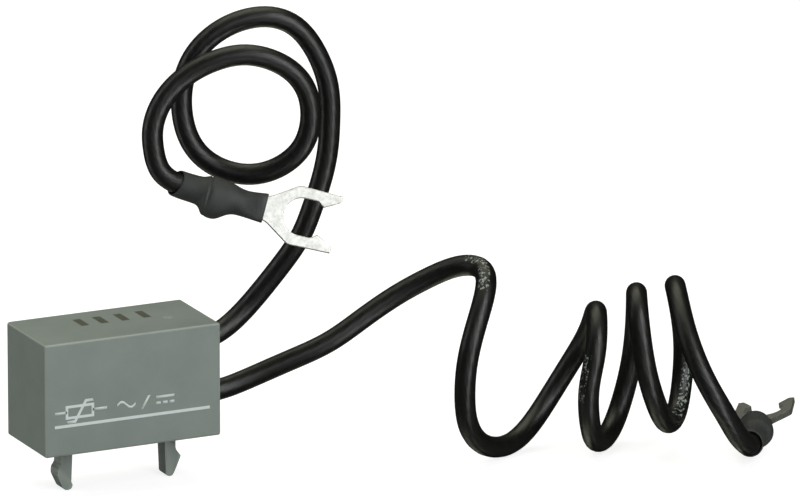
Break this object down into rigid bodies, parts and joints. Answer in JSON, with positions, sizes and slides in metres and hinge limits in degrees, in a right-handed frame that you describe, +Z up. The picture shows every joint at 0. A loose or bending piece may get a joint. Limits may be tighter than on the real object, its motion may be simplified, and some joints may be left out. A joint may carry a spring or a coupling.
{
  "type": "varistor surge suppressor",
  "caption": "Small potted varistor block that clips onto a contactor, with black leads coming out of one end into locking fork terminals.",
  "frame": {"origin": "middle of the housing's flat underside, between the snap legs", "axes": "+X along the housing towards the end that the leads leave, +Y into depth away from the printed face, +Z up, away from the snap legs"},
  "size_m": [0.1062, 0.0407, 0.063],
  "materials": {
    "housing": "fine satin moulding",
    "resin": "cast resin",
    "disc_coating": "dipped coating",
    "tinned_wire": "tinned",
    "splice": "tinned",
    "conductor": "bare stranded copper",
    "insulation": "smooth extruded, soft sheen",
    "heat_shrink": "matt, shrunk on",
    "tin_plate": "bright tin plating"
  },
  "bodies": {
    "root": {"housing": "housing", "potting": "resin", "varistor_disc": "disc_coating", "varistor_leg_upper": "tinned_wire", "varistor_leg_lower": "tinned_wire", "splice_upper": "splice", "splice_lower": "splice", "strand_upper": "conductor", "strand_lower": "conductor", "lead_upper": "insulation", "lead_lower": "insulation", "sleeve_upper": "heat_shrink", "sleeve_lower": "heat_shrink", "fork_upper": "tin_plate", "fork_lower": "tin_plate", "tip_upper": "conductor", "tip_lower": "conductor"}
  },
  "joints": []
}
